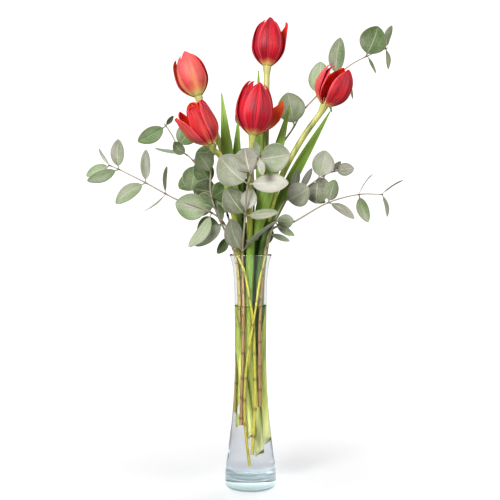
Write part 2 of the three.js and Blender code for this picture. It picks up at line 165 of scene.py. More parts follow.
# %% [markdown]
# ## Shader helpers
# Each material is a small tree of nodes, so short helpers keep the trees readable. `add` makes a node and
# plugs in its inputs, `calc` does arithmetic, `blend` mixes two colours and `ramp` turns a number into a
# colour.

# %% Building node trees
def new_material(name, **settings):
    """A material with a Principled shader. settings set its sockets, as base_color for Base Color."""
    material = bpy.data.materials.new(name)
    material.use_nodes = True
    shader = material.node_tree.nodes["Principled BSDF"]
    for key, value in settings.items():
        socket = next(s for s in shader.inputs if s.name.replace(" ", "_").lower() == key)
        socket.default_value = value
    return material, material.node_tree, shader


def add(tree, kind, inputs=None, **settings):
    """Adds a node. inputs maps its sockets to values or to other nodes' sockets."""
    node = tree.nodes.new("ShaderNode" + kind)
    for key, value in settings.items():
        setattr(node, key, value)
    for key, value in (inputs or {}).items():
        if isinstance(value, bpy.types.NodeSocket):
            tree.links.new(value, node.inputs[key])
        else:
            node.inputs[key].default_value = value
    return node


def calc(tree, operation, *values):
    return add(tree, "Math", dict(enumerate(values)), operation=operation).outputs[0]


def times(tree, first, second):
    return calc(tree, "MULTIPLY", first, second)


def centred(tree, value):
    """The value less a half."""
    return calc(tree, "SUBTRACT", value, 0.5)


def blend(tree, factor, first, second):
    """Mixes two colours, each a socket or red, green and blue."""
    inputs = {0: factor}
    for place, colour in ((6, first), (7, second)):
        inputs[place] = (*colour, 1) if isinstance(colour, tuple) else colour
    return add(tree, "Mix", inputs, data_type="RGBA").outputs[2]


def ramp(tree, factor, *stops):
    """A colour ramp. stops are (place, colour), a colour as red, green and blue or as one grey number."""
    node = add(tree, "ValToRGB", {0: factor})
    elements = node.color_ramp.elements
    while len(elements) < len(stops):
        elements.new(0.5)
    for element, (place, colour) in zip(elements, stops):
        element.position = place
        element.color = (*(colour if isinstance(colour, tuple) else (colour,) * 3), 1)
    return node.outputs[0]


def noise(tree, vector, scale, detail=3.0, rough=0.55):
    """scale is a number, or x, y and z for a pattern that runs long one way."""
    if isinstance(scale, tuple):
        vector, scale = stretch(tree, vector, *scale), 1.0
    inputs = {"Vector": vector, "Scale": scale, "Detail": detail, "Roughness": rough}
    return add(tree, "TexNoise", inputs).outputs["Fac"]


def stretch(tree, vector, x, y, z):
    """The vector times x, y and z, so that a pattern runs long one way."""
    return add(tree, "VectorMath", {0: vector, 1: (x, y, z)}, operation="MULTIPLY").outputs[0]


def attribute(tree, name):
    return add(tree, "Attribute", attribute_name=name).outputs["Fac"]


def bump(tree, shader, height, distance, strength=1.0):
    node = add(tree, "Bump", {"Height": height, "Distance": distance, "Strength": strength})
    tree.links.new(node.outputs[0], shader.inputs["Normal"])


def plug(tree, socket, shader, name):
    tree.links.new(socket, shader.inputs[name])


# %% [markdown]
# ## Tulip petals
# A tulip petal is satin-smooth, crimson outside and more orange inside, with a yellow foot; the inside is
# also painted brighter, a painted glow of light shining through the petal. Fine streaks run from foot to
# tip, its margin is a little paler and pinker, and the coral ones have a green-yellow midrib. A pinker band
# down the middle is a painted highlight, and the warmer petals are painted darker towards their sides as
# painted shade. The pattern follows the petal's own UV map, with u across and v along, so the streaks bend
# with the petal. Two numbers stored on each petal, `warmth` and `seed`, make one flower more coral than the
# next and keep two petals from having the same streaks.

# %% Petal materials
FOOT_GREEN, FOOT_YELLOW, FOOT_ORANGE = (0.50, 0.58, 0.14), (0.80, 0.66, 0.24), (0.80, 0.30, 0.12)


def petal_material(name, deep, bright, coral, warm_colour):
    material, tree, shader = new_material(
        name, roughness=0.5, subsurface_weight=0.2, subsurface_radius=(0.003, 0.0008, 0.0006),
        subsurface_scale=1.0, specular_ior_level=0.35,
    )
    u, v, _ = add(tree, "SeparateXYZ", {0: add(tree, "UVMap").outputs[0]}).outputs
    seed, warmth = attribute(tree, "seed"), attribute(tree, "warmth")
    flat = add(tree, "CombineXYZ", {0: u, 1: v, 2: seed}).outputs[0]
    fine = noise(tree, flat, (55, 2.2, 9), 4, 0.6)
    broad = noise(tree, flat, (7, 1.6, 5), 3, 0.55)
    off_centre = times(tree, calc(tree, "ABSOLUTE", centred(tree, u)), 2.0)
    crimson = blend(tree, ramp(tree, broad, (0.36, 0.0), (0.62, 1.0)), deep, bright)
    pale = ramp(tree, fine, (0.42, 0.0), (0.75, 1.0))
    dark = ramp(tree, fine, (0.28, 0.6), (0.44, 0.0))
    crimson = blend(tree, dark, crimson, deep)
    rosy = blend(tree, times(tree, pale, 0.25), crimson, coral)
    margin = ramp(tree, off_centre, (0.78, 0.0), (1.0, 0.85))
    rosy = blend(tree, margin, rosy, coral)
    # Painted highlight: a pinker band down the middle of the petal.
    painted_highlight_band = times(tree, ramp(tree, off_centre, (0.0, 0.55), (0.4, 0.0)), pale)
    streaked = ramp(tree, fine, (0.34, 0.4), (0.58, 0.76))
    warm = blend(tree, times(tree, warmth, streaked), rosy, warm_colour)
    warm = blend(tree, painted_highlight_band, warm, coral)
    # Painted shade: the warmer petals are darker towards their sides.
    rim = times(tree, ramp(tree, off_centre, (0.5, 0.0), (0.95, 0.8)), warmth)
    warm = blend(tree, rim, warm, (0.48, 0.02, 0.06))
    near_rib = ramp(tree, off_centre, (0.0, 0.7), (0.32, 0.0))
    vein = times(tree, near_rib, times(tree, warmth, broad))
    vein = times(tree, vein, ramp(tree, v, (0.1, 1.6), (0.6, 0.0)))
    warm = blend(tree, vein, warm, (0.66, 0.54, 0.16))
    height = calc(tree, "DIVIDE", v, calc(tree, "MULTIPLY_ADD", warmth, 0.5, 0.5))
    foot = calc(tree, "ADD", height, times(tree, centred(tree, fine), 0.12))
    foot = calc(tree, "ADD", foot, times(tree, off_centre, 0.05))
    yellow = ramp(tree, foot, (0.0, FOOT_GREEN), (0.06, FOOT_YELLOW), (0.15, FOOT_ORANGE))
    reach = ramp(tree, foot, (0.07, 0.0), (0.22, 1.0))
    plug(tree, blend(tree, reach, yellow, warm), shader, "Base Color")
    plug(tree, ramp(tree, fine, (0.3, 0.4), (0.8, 0.58)), shader, "Roughness")
    bump(tree, shader, calc(tree, "ADD", fine, times(tree, broad, 0.6)), 0.0006, 0.55)
    return material


PETAL_OUTSIDE = petal_material("petal outside", deep=(0.15, 0.0, 0.010), bright=(0.52, 0.001, 0.014),
                               coral=(0.74, 0.10, 0.13), warm_colour=(0.80, 0.20, 0.15))
# The inner face is more orange than the outside, and also painted brighter as a painted glow of light
# shining through the petal.
PETAL_INSIDE = petal_material("petal inside", deep=(0.42, 0.0, 0.005), bright=(0.74, 0.003, 0.007),
                              coral=(0.88, 0.14, 0.03), warm_colour=(0.92, 0.22, 0.03))

# %% [markdown]
# ## The five tulips
# Every tulip is described by a few numbers: the route of its stem, which way the flower faces, its length,
# and how wide its cup is at the belly and at the mouth. Each of its six petals has four numbers: the
# direction it stands in, how far it has opened, how far it curls outwards, and how far up the flower it
# reaches. Lengths are in millimetres and angles in degrees. The measured model was made from the same
# numbers, and so were its leaves and sprigs from the two tables further down.

# %% The tulips' measures
TULIPS = {
    "top": dict(
        route=[(5, 13, 45), (4, 11, 105), (3.7, 9.2, 150), (3.8, 8.8, 210), (8, 9, 275), (17, 16, 380),
        (19.4, 24, 488.5)],
        axis=(0.05, 0.04, 1), length=56, belly=19.5, mouth=7.5,
        outer=[(4, 0, 0, 1), (116, 2, 13, 1.02), (-114, 0, 0, 0.95)],
        inner=[(-54, 0, 0, 0.96), (62, 0, 0, 0.95), (188, 0, 0, 0.95)],
    ),
    "upper_left": dict(
        route=[(-6, 13, 66), (-6, 10.5, 105), (-6, 9.5, 150), (-5.5, 9, 210), (-9, 9.5, 275),
        (-30, 20, 380), (-51, 28, 433), (-61.5, 31, 454.5)],
        axis=(-0.34, 0.04, 1), length=54, belly=19, mouth=7.5,
        outer=[(8, 0, 0, 1), (126, 0, 0, 0.97), (-114, 2, 4, 0.93)],
        inner=[(-54, 0, 0, 0.94), (66, 0, 0, 0.95), (186, 0, 0, 0.96)],
    ),
    "lower_left": dict(
        route=[(1, -8, 57), (-4.5, -5.5, 105), (-9.5, -1.8, 150), (-11, 0, 200), (-14.3, -4, 272),
        (-25, -18, 355), (-35, -28, 383), (-44.5, -34, 395)],
        axis=(-0.48, -0.3, 0.95), length=50, belly=18, mouth=12.5,
        outer=[(60, 0, 0, 1), (-62, 10, 3, 0.96), (178, 6, 4, 1)],
        inner=[(0, 0, 0, 0.98), (120, 0, 0, 0.95), (-118, 8, 0, 0.96)],
    ),
    "middle": dict(
        route=[(8, 2, 34), (2.5, 1, 105), (-1, -1, 150), (-2.5, -1.8, 205), (-1, -7, 275),
        (-1, -24, 360), (2.5, -30, 405)],
        axis=(0.11, -0.06, 1), length=60, belly=22, mouth=8.5,
        outer=[(10, 0, 0, 0.98), (128, 20, 12, 0.88), (-110, 1, 0, 1)],
        inner=[(-50, 0, 0, 1), (70, 0, 0, 0.95), (190, 0, 0, 0.96)],
    ),
    "right": dict(
        route=[(15.5, 4, 48), (12.5, 3, 105), (11, 1.5, 150), (10.8, 0.6, 205), (14, 1, 270),
        (31, -2, 348), (60, -6, 404), (84, -8, 440)],
        axis=(0.46, -0.12, 0.9), length=48, belly=20.5, mouth=10,
        outer=[(34, 0, 0, 1), (-86, 4, 0, 0.98), (154, 3, 0, 1)],
        inner=[(86, 0, 0, 0.96), (180, 0, 0, 1), (-82, 2, 0, 0.94)],
    ),
}
print("tulips:", len(TULIPS), "petals:", sum(len(t["outer"]) + len(t["inner"]) for t in TULIPS.values()))

# %% [markdown]
# ## How a petal is shaped
# A petal could be sculpted, or cut from a sphere. Here a flat grid is added in Blender and each of its
# points is carried to its place on the cup by one formula, the way a florist describes the flower: it
# swells from the root to the belly and closes in to the mouth. A faint groove down the middle, a rolled
# margin and a ruffled top keep it from looking like a shell. Solidify gives it a thickness that thins
# towards the margin, with the inner face in a material of its own, and Subdivision smooths it. The oldest
# flower, at the lower left, has blunter and more ruffled petals than the others.

# %% One petal
ROOT, INNER_STEP, PETAL_THICKNESS = 4.6, 1.8, 0.8
PETAL_GRID = (14, 20)
BELLY_AT = 0.42  # the share of a cup's length at which it is widest


def flower_frame(tulip):
    """The base, up, front and right of a flower."""
    up = Vector(tulip["axis"]).normalized()
    front = square_to(FRONT, up)
    return Vector(tulip["route"][-1]) * MM - up * 1.0 * MM, up, front, up.cross(front)


def cup_radius(belly, mouth, root, t):
    """The cup's radius at a share t of its length."""
    if t < BELLY_AT:
        return root + (belly - root) * math.sin(math.pi / 2 * t / BELLY_AT) ** 0.8
    closing = (t - BELLY_AT) / (1 - BELLY_AT)
    return mouth + (belly - mouth) * max(0, math.cos(math.pi / 2 * closing)) ** 0.62


def petal_place(tulip, petal, inner, rng):
    """A function that gives the place of a petal's point, t from foot to tip and s across from -1 to 1."""
    base, up, front, right = flower_frame(tulip)
    turn, opened, curl, reach = petal
    out = front * math.cos(math.radians(turn)) + right * math.sin(math.radians(turn))
    side = up.cross(out)
    step = INNER_STEP if inner else 0
    root, belly, mouth = ROOT - step, tulip["belly"] - step, tulip["mouth"] - step
    length = tulip["length"] * reach
    wave, ruffle = rng.uniform(0, 6.28), rng.uniform(0.6, 1.2) * tulip.get("ruffle", 1)
    lean = rng.uniform(-0.05, 0.05)

    def place(t, s):
        t = 1 - (1 - t) ** 1.5
        span = math.radians(34 + 12 * math.sin(math.pi * min(1, t / 0.9)) ** 0.7)
        taper = (1 - max(0, 2 * t - 1) ** tulip.get("blunt", 3)) ** 0.55
        angle = s * span * taper + lean * smoothstep(t, 0.5, 1)
        groove = -0.7 * math.exp(-((s / 0.13) ** 2)) * smoothstep(t, 0.02, 0.3) * (1 - smoothstep(t, 0.8, 1))
        flute = 0.16 * math.cos(5 * math.pi * s + wave) * smoothstep(t, 0.1, 0.5)
        rolled = (0.0 if inner else 0.55) * s ** 4 * smoothstep(t, 0.2, 0.8)
        edge = rolled + 0.3 * abs(s) ** 5 * math.sin(7 * t + wave)
        top = ruffle * math.sin(3.2 * s * math.pi + wave) * smoothstep(t, 0.7, 1.0)
        radius = cup_radius(belly, mouth, root, t) + groove + flute + edge + top * 0.5
        x, y, z = radius * math.cos(angle) - root, radius * math.sin(angle), length * t
        bend = math.radians(opened * min(1, 2 * t) + curl * max(0, t - 0.4) ** 1.5 * 2)
        x, z = x * math.cos(bend) + z * math.sin(bend) + root, z * math.cos(bend) - x * math.sin(bend)
        return base + (out * x + side * y + up * z) * MM

    return place


def sheet_from(place, across, along):
    """A grid of faces carried to place(t, s), facing out."""
    clear()
    bpy.ops.mesh.primitive_grid_add(x_subdivisions=across, y_subdivisions=along, size=2, location=(0, 0, 0))
    obj = bpy.context.object
    for vertex in obj.data.vertices:
        vertex.co = place((vertex.co.y + 1) / 2, vertex.co.x)
    return obj


def thicken(obj, thickness, rim_share, across, inner_material=0):
    """Gives a sheet its thickness, thinner at its rim, and smooths it."""
    group = obj.vertex_groups.new(name="body")
    for i in range(len(obj.data.vertices)):
        s = abs(2 * (i % (across + 1)) / across - 1)
        group.add([i], 1 - s ** 3, "REPLACE")
    apply_modifier(
        obj, "SOLIDIFY", thickness=thickness * MM, offset=-1, vertex_group="body",
        thickness_vertex_group=rim_share, material_offset=inner_material, material_offset_rim=0,
        use_even_offset=False,
    )
    obj.vertex_groups.clear()
    apply_modifier(obj, "SUBSURF", levels=1, render_levels=1)
    bpy.ops.object.shade_smooth()


def make_petal(name, tulip, petal, inner, warmth, seed):
    obj = sheet_from(petal_place(tulip, petal, inner, random.Random(seed)), *PETAL_GRID)
    obj.data.materials.append(PETAL_OUTSIDE)
    obj.data.materials.append(PETAL_INSIDE)
    thicken(obj, PETAL_THICKNESS, 0.45, PETAL_GRID[0], inner_material=1)
    mark(obj.data, "warmth", warmth)
    mark(obj.data, "seed", seed * 0.37)
    settle(obj, name + "_petal", "petal", name)


# %% All the petals
TULIPS["lower_left"].update(ruffle=3.0, blunt=7)
WARMTH = {"top": 0.0, "upper_left": 0.85, "lower_left": 0.2, "middle": 0.0, "right": 0.05}
WARMER = {
    "tulip_right_outer_tepal_2": 0.9,
    "tulip_lower_left_outer_tepal_2": 0.6,
    "tulip_middle_outer_tepal_2": 0.7,
}
for number, (name, tulip) in enumerate(TULIPS.items()):
    for whorl in ("outer", "inner"):
        for i, petal in enumerate(tulip[whorl]):
            node = f"tulip_{name}_{whorl}_tepal_{i + 1}"
            warmth = WARMER.get(node, WARMTH[name])
            seed = 10 * number + 3 * (whorl == "inner") + i + 1
            make_petal(node, tulip, petal, whorl == "inner", warmth, seed)

# %% [markdown]
# ## Stems
# A stem is a round tube along its route. A path curve with a bevel makes one, with its own radius at each
# point, and is then turned into a mesh. Tulip stems are smooth and yellow-green, paler towards the foot,
# which is cut at a slant, and they widen under the flower. Where they pass through the vase's neck they
# are painted darker, as painted shade.

# %% Tubes along a line
def path_through(places, radii):
    """A path curve in straight steps through places, which are in metres. It is left active."""
    clear()
    bpy.ops.curve.primitive_nurbs_path_add(location=(0, 0, 0))
    curve = bpy.context.object.data
    curve.splines.clear()
    spline = curve.splines.new("POLY")
    spline.points.add(len(places) - 1)
    for point, place, radius in zip(spline.points, places, radii):
        point.co = (*place, 1)
        point.radius = radius
    return curve


def tube(line, radii, sides=4):
    """A round tube along a line. radii is one per point, in millimetres. sides is the bevel's resolution."""
    curve = path_through(line, radii)
    curve.dimensions = "3D"
    curve.bevel_depth = MM
    curve.bevel_resolution = sides
    curve.use_fill_caps = True
    bpy.ops.object.convert(target="MESH")
    bpy.ops.object.shade_smooth()
    return bpy.context.object


# %% Stem material
# Painted shade: the darkest tones, around 180 to 260 mm up, darken the stems in the vase's neck.
STEM_TONES = [  # (twice the height in metres, colour), from the cut foot up
    (0.08, (0.66, 0.66, 0.36)), (0.2, (0.46, 0.50, 0.12)), (0.36, (0.28, 0.34, 0.03)),
    (0.44, (0.2, 0.26, 0.015)), (0.62, (0.31, 0.36, 0.04)), (0.9, (0.42, 0.40, 0.15)),
]


def stem_material():
    material, tree, shader = new_material("tulip stem", roughness=0.42, subsurface_weight=0.1,
                                          subsurface_radius=(0.002, 0.002, 0.0006), subsurface_scale=1.0)
    here = add(tree, "TexCoord").outputs["Object"]
    height = add(tree, "SeparateXYZ", {0: here}).outputs[2]
    streak = noise(tree, here, (1400, 1400, 25), 3, 0.6)
    blotch = noise(tree, here, (110, 110, 16), 3)
    # The tones by height, with painted shade in the vase's neck.
    low = ramp(tree, times(tree, height, 2.0), *STEM_TONES)
    tone = blend(tree, ramp(tree, streak, (0.35, 0.0), (0.8, 0.5)), low, (0.56, 0.56, 0.2))
    tone = blend(tree, ramp(tree, blotch, (0.45, 0.0), (0.68, 0.8)), tone, (0.09, 0.13, 0.008))
    plug(tree, tone, shader, "Base Color")
    bump(tree, shader, streak, 0.0002, 0.5)
    return material


TULIP_STEM = stem_material()

# %% Tulip stems
STEM_RADIUS, STEM_TAPER, STEM_FLARE = 4.0, 0.7, 1.6
CUT_REACH, CUT_TURN = 5, 70  # the cut moves what is this near the end in mm, and faces this way in degrees

for name, tulip in TULIPS.items():
    end, up = Vector(tulip["route"][-1]), Vector(tulip["axis"]).normalized()
    line = course([*tulip["route"][:-1], end - up * 9, end])
    shares = even(len(line))
    radii = [STEM_RADIUS - STEM_TAPER * t + STEM_FLARE * smoothstep(t, 0.97, 1) for t in shares]
    stem = tube(line, radii, 6)
    along = heading(line, 0)
    slant = turned_about(square_to(FRONT, along), along, CUT_TURN)
    for vertex in stem.data.vertices:
        off = vertex.co - line[0]
        if off.length < CUT_REACH * MM:
            vertex.co += along * (STEM_RADIUS * MM + off.dot(slant)) * 1.1
    settle(stem, f"tulip_{name}_stem_smooth", "tulip_stem", f"tulip_{name}_stem", TULIP_STEM)

# %% [markdown]
# ## Pistils and stamens
# Inside each cup stand a green pistil with a three-lobed yellow stigma, and six stamens with dark anthers.
# They show where a flower opens, so they are made simply: tubes along short lines, and flattened balls for
# the anthers.

# %% Hearts of the flowers
def heart_material(name, colour, spots, roughness):
    material, tree, shader = new_material(name, roughness=roughness)
    here = add(tree, "TexCoord").outputs["Object"]
    grain = noise(tree, here, 900, 3)
    spotted = ramp(tree, grain, (0.4, 0.0), (0.7, 1.0))
    plug(tree, blend(tree, spotted, colour, spots), shader, "Base Color")
    bump(tree, shader, grain, 0.0003)
    return material


PISTIL = heart_material("pistil", (0.5, 0.55, 0.16), (0.62, 0.62, 0.3), 0.5)
ANTHER = heart_material("anther", (0.03, 0.015, 0.035), (0.1, 0.06, 0.05), 0.85)
for name, tulip in TULIPS.items():
    base, up, front, right = flower_frame(tulip)
    shares = even(13)
    stalk = [base + up * (0.2 + 16.3 * t) * MM for t in shares]
    radii = [1.9 + 0.6 * math.sin(math.pi * t) + 0.5 * smoothstep(t, 0.85, 1) for t in shares]
    made = [tube(stalk, radii, 3)]
    for i in range(3):
        lobe = turned_about(front, up, 120 * i)
        ends = [base + (up * z + lobe * r) * MM for r, z in ((0.5, 15.6), (2.0, 16.6), (2.9, 16.2))]
        made.append(tube(ends, [1.2, 1.1, 0.5], 2))
    for i in range(6):
        ray = turned_about(front, up, 60 * i)
        bends = [(base + (up * z + ray * r) * MM) / MM for r, z in ((1.2, 1.0), (4.6, 6.0), (5.2, 9.5))]
        made.append(tube(course(bends, 8), [0.5] * 9, 2))
    for obj in made:
        obj.data.materials.append(PISTIL)
    for i in range(6):
        ray = turned_about(front, up, 60 * i)
        line = [base + (up * z + ray * 5.3) * MM for z in (8.5, 9.4, 11.5, 13.4, 14.2)]
        made.append(tube(line, [0.25, 0.85, 1.0, 0.8, 0.2], 2))
        made[-1].data.materials.append(ANTHER)
    pick(*made)
    bpy.ops.object.join()
    node = f"tulip_{name}_pistil_and_stamens"
    settle(bpy.context.object, f"tulip_{name}_heart", "pistil_and_stamens", node)
print("hearts made:", len(TULIPS))

# %% [markdown]
# ## The tulips' long leaves
# A tulip leaf is a long soft blade, folded like a shallow gutter at its foot and flat near its tip. Its
# veins run side by side from foot to tip, so the material stretches a noise along the leaf's UV map. The
# blade is painted darker towards its foot, and the feet that clasp the stems in the vase's neck darker
# still, both as painted shade.

# %% Leaf blades
LEAVES = {
    "upper_left": dict(route=[(-12.5, 1.8, 298), (-21, 2, 340), (-26, 7, 380), (-33.5, 14, 456)],
                       width=17, turn=5),
    "lower_left": dict(route=[(-12, 15, 292), (-16, 20, 330), (-17, 24, 370), (-14.5, 28, 427)],
                       width=17, turn=-20),
    "middle": dict(route=[(5, -9.5, 286), (14, -11, 325), (29, -6, 380), (45, 2, 441)], width=17, turn=0),
    "right": dict(route=[(23, 6, 300), (33, 6.5, 325), (55, 9, 370), (93.5, 13, 437)], width=14, turn=10),
    "back": dict(route=[(-24, 27, 339), (-30, 34, 368), (-27, 41, 400), (-34, 44, 432)], width=15, turn=12),
    "top": dict(route=[(12, 14.5, 300), (14, 20, 335), (11.5, 28, 401), (9, 31, 484)], width=14, turn=14),
}


def blade_material():
    material, tree, shader = new_material(
        "tulip leaf", roughness=0.4, sheen_weight=0.1, subsurface_weight=0.08,
        subsurface_radius=(0.001, 0.002, 0.0004), subsurface_scale=1.0,
    )
    uv = add(tree, "UVMap").outputs[0]
    u, v, _ = add(tree, "SeparateXYZ", {0: uv}).outputs
    veins = noise(tree, uv, (60, 1.2, 1), 2)
    cloud = noise(tree, uv, (3, 4, 1), 3)
    # Painted shade: the blade is darker towards its foot.
    along = ramp(tree, v, (0.0, (0.10, 0.16, 0.015)), (0.4, (0.20, 0.33, 0.03)), (0.9, (0.20, 0.34, 0.03)))
    tone = blend(tree, ramp(tree, veins, (0.42, 0.0), (0.7, 0.6)), along, (0.33, 0.47, 0.08))
    tone = blend(tree, ramp(tree, cloud, (0.4, 0.0), (0.75, 0.6)), tone, (0.06, 0.15, 0.012))
    rib = ramp(tree, calc(tree, "ABSOLUTE", centred(tree, u)), (0.0, 0.6), (0.05, 0.0))
    tone = blend(tree, rib, tone, (0.36, 0.48, 0.1))
    # Painted shade: the clasping feet in the vase's neck are painted dark by a number stored on them.
    plug(tree, blend(tree, attribute(tree, "clasp_painted_shade"), tone, (0.035, 0.085, 0.008)), shader, "Base Color")
    bump(tree, shader, veins, 0.0004, 0.6)
    return material


TULIP_LEAF = blade_material()


def blade_place(leaf, rng):
    line = course(leaf["route"])
    phase = rng.uniform(0, 6.28)

    def place(t, s):
        along = heading(line, t)
        out = turned_about(square_to(FRONT, along), along, leaf["turn"])
        width = leaf["width"]
        half = width / 2 * (0.3 + 0.7 * math.sin(math.pi * t ** 0.75) ** 0.8) * math.sqrt(max(0, 1 - t ** 3))
        half = max(half, 0.25)
        fold = width * 0.22 * s * s * (1 - t) + 0.35 * math.exp(-((s / 0.12) ** 2))
        wave = 0.7 * abs(s) ** 3 * math.sin(9 * t + phase + s)
        return on(line, t) + (along.cross(out) * s * half + out * (wave - fold)) * MM

    return place


def sheath_place(tulip, turn, low, high):
    """The foot of a leaf, which clasps its stem between two heights."""
    line = course(tulip["route"])
    start, end = (next(s for s in even(161) if on(line, s).z > z * MM) for z in (low, high))

    def place(t, s):
        share = start + (end - start) * t
        along = heading(line, share)
        sweep = s * 112 * smoothstep(t, -0.05, 0.45) * (1 - 0.35 * t)
        out = turned_about(square_to(FRONT, along), along, turn + sweep)
        return on(line, share) + out * (4.5 + 0.5 * t + 1.2 * abs(s) * t) * MM

    return place


# For each clasping foot: the way it faces in degrees, its two heights in mm, and how dark it is painted,
# as painted shade in the vase's neck.
CLASPS = {"top": (20, 150, 300, 0.95), "upper_left": (-20, 172, 306, 1.0), "middle": (40, 196, 292, 0.35),
          "right": (0, 180, 306, 0.9), "back": (180, 190, 310, 1.0)}
LEAF_THICKNESS, LEAF_RIM, LEAF_ACROSS = 0.9, 0.4, 10
for number, (name, leaf) in enumerate(LEAVES.items()):
    blade = sheet_from(blade_place(leaf, random.Random(number)), LEAF_ACROSS, 48)
    thicken(blade, LEAF_THICKNESS, LEAF_RIM, LEAF_ACROSS)
    mark(blade.data, "clasp_painted_shade", 0.0)
    if name in CLASPS:
        *where, painted_shade = CLASPS[name]
        clasped = TULIPS["upper_left" if name == "back" else name]
        sheath = sheet_from(sheath_place(clasped, *where), LEAF_ACROSS, 30)
        thicken(sheath, LEAF_THICKNESS, LEAF_RIM, LEAF_ACROSS)
        mark(sheath.data, "clasp_painted_shade", painted_shade)
        pick(blade, sheath)
        bpy.ops.object.join()
    settle(blade, f"tulip_leaf_{name}_blade", "tulip_leaf", f"tulip_leaf_{name}", TULIP_LEAF)

# %% [markdown]
# ## Eucalyptus
# The sprigs have thin twigs and thick, round, powdery leaves in pairs. Each leaf is matt grey-green with a
# pale midrib, side veins that leave it at a slant, a fine net between them, and a thin pale margin. A darker
# band just inside the margin and a darker foot are painted shade. Three numbers stored on each leaf vary it:
# `tone` goes from fresh green to a dry grey-beige, `shade` from dark to light, which is partly the leaf's
# own tone and partly painted light and shade, and `seed` shifts its pattern.

# %% Eucalyptus leaf material
def eucalyptus_material():
    material, tree, shader = new_material(
        "eucalyptus leaf", roughness=0.5, sheen_weight=0.06, sheen_roughness=0.5, specular_ior_level=0.35,
    )
    u, v, _ = add(tree, "SeparateXYZ", {0: add(tree, "UVMap").outputs[0]}).outputs
    tone, shade, seed = (attribute(tree, n) for n in ("tone", "shade", "seed"))
    side = calc(tree, "ABSOLUTE", centred(tree, u))
    flat = add(tree, "CombineXYZ", {0: u, 1: v, 2: seed}).outputs[0]
    patch = noise(tree, stretch(tree, flat, 1, 1, 3), 1.8, 2)
    tone = calc(tree, "MULTIPLY_ADD", centred(tree, patch), 1.6, tone)
    cells = add(tree, "TexVoronoi", {"Vector": flat, "Scale": 15.0}, feature="DISTANCE_TO_EDGE")
    net = ramp(tree, cells.outputs["Distance"], (0.0, 0.3), (0.09, 0.0))
    cloud = noise(tree, flat, 3.2, 4, 0.6)
    fleck = noise(tree, flat, 26, 3, 0.7)
    slanted = calc(tree, "SUBTRACT", times(tree, v, 9.0), times(tree, side, 9.0))
    bent = calc(tree, "ADD", slanted, times(tree, centred(tree, cloud), 1.6))
    rung = calc(tree, "ABSOLUTE", centred(tree, calc(tree, "FRACT", bent)))
    veins = ramp(tree, rung, (0.0, 1.0), (0.12, 0.0))
    rib = ramp(tree, side, (0.0, 1.0), (0.012, 0.8), (0.03, 0.0))
    strength = calc(tree, "MULTIPLY_ADD", tone, 0.5, 0.45)
    veins = times(tree, veins, times(tree, cloud, 0.75))
    lines = times(tree, calc(tree, "MAXIMUM", calc(tree, "MAXIMUM", veins, net), rib), strength)
    green = blend(tree, tone, (0.045, 0.10, 0.014), (0.145, 0.135, 0.10))
    light = blend(tree, tone, (0.21, 0.31, 0.13), (0.46, 0.45, 0.40))
    # Painted light and shade: the leaf's shade number lightens or darkens it, together with the powdery
    # cloud.
    bloom_and_painted_shade = calc(tree, "MULTIPLY_ADD", centred(tree, cloud), 1.1, shade)
    # Painted shade: darker towards the leaf's foot.
    bloom_and_painted_shade = calc(tree, "ADD", bloom_and_painted_shade, ramp(tree, v, (0.1, 0.0), (0.6, 0.25)))
    bloom_and_painted_shade = calc(tree, "SUBTRACT", bloom_and_painted_shade, 0.15)
    skin = blend(tree, bloom_and_painted_shade, green, light)
    flecked = times(tree, ramp(tree, fleck, (0.5, 0.0), (0.75, 0.9)), 0.25)
    skin = blend(tree, flecked, skin, (0.5, 0.5, 0.43))
    skin = blend(tree, lines, skin, (0.52, 0.5, 0.40))
    # Painted shade: a darker band just inside the pale margin.
    skin = blend(tree, ramp(tree, side, (0.36, 0.0), (0.48, 0.35)), skin, (0.10, 0.10, 0.07))
    margin = ramp(tree, side, (0.478, 0.0), (0.5, 0.6))
    plug(tree, blend(tree, margin, skin, (0.5, 0.42, 0.34)), shader, "Base Color")
    bump(tree, shader, calc(tree, "ADD", lines, times(tree, fleck, 0.3)), 0.00035, 0.7)
    return material


EUCALYPTUS_LEAF = eucalyptus_material()

# %% [markdown]
# Twigs are pinkish grey where they carry leaves. In the vase some are woody and reddish brown, and others
# are still yellow-green with dark rings where leaves have dropped. A number on the mesh, `ring`, is 1 at
# such a ring, and `fresh` says how yellow-green the lower part is.

# %% Twig material
def twig_material():
    material, tree, shader = new_material("twig", roughness=0.6)
    here = add(tree, "TexCoord").outputs["Object"]
    height = add(tree, "SeparateXYZ", {0: here}).outputs[2]
    grain = noise(tree, here, (1500, 1500, 60), 3)
    patch = noise(tree, here, 60, 3)
    barked = ramp(tree, grain, (0.3, 0.0), (0.75, 1.0))
    woody = blend(tree, barked, (0.13, 0.055, 0.025), (0.38, 0.23, 0.12))
    young = blend(tree, patch, (0.24, 0.22, 0.015), (0.42, 0.38, 0.05))
    low = blend(tree, attribute(tree, "fresh"), woody, young)
    high = blend(tree, patch, (0.19, 0.15, 0.12), (0.36, 0.34, 0.24))
    up = ramp(tree, times(tree, height, 2.0), (0.5, 0.0), (0.6, 1.0))
    skin = blend(tree, up, low, high)
    plug(tree, blend(tree, attribute(tree, "ring"), skin, (0.10, 0.05, 0.025)), shader, "Base Color")
    bump(tree, shader, grain, 0.0003, 0.7)
    return material


TWIG = twig_material()

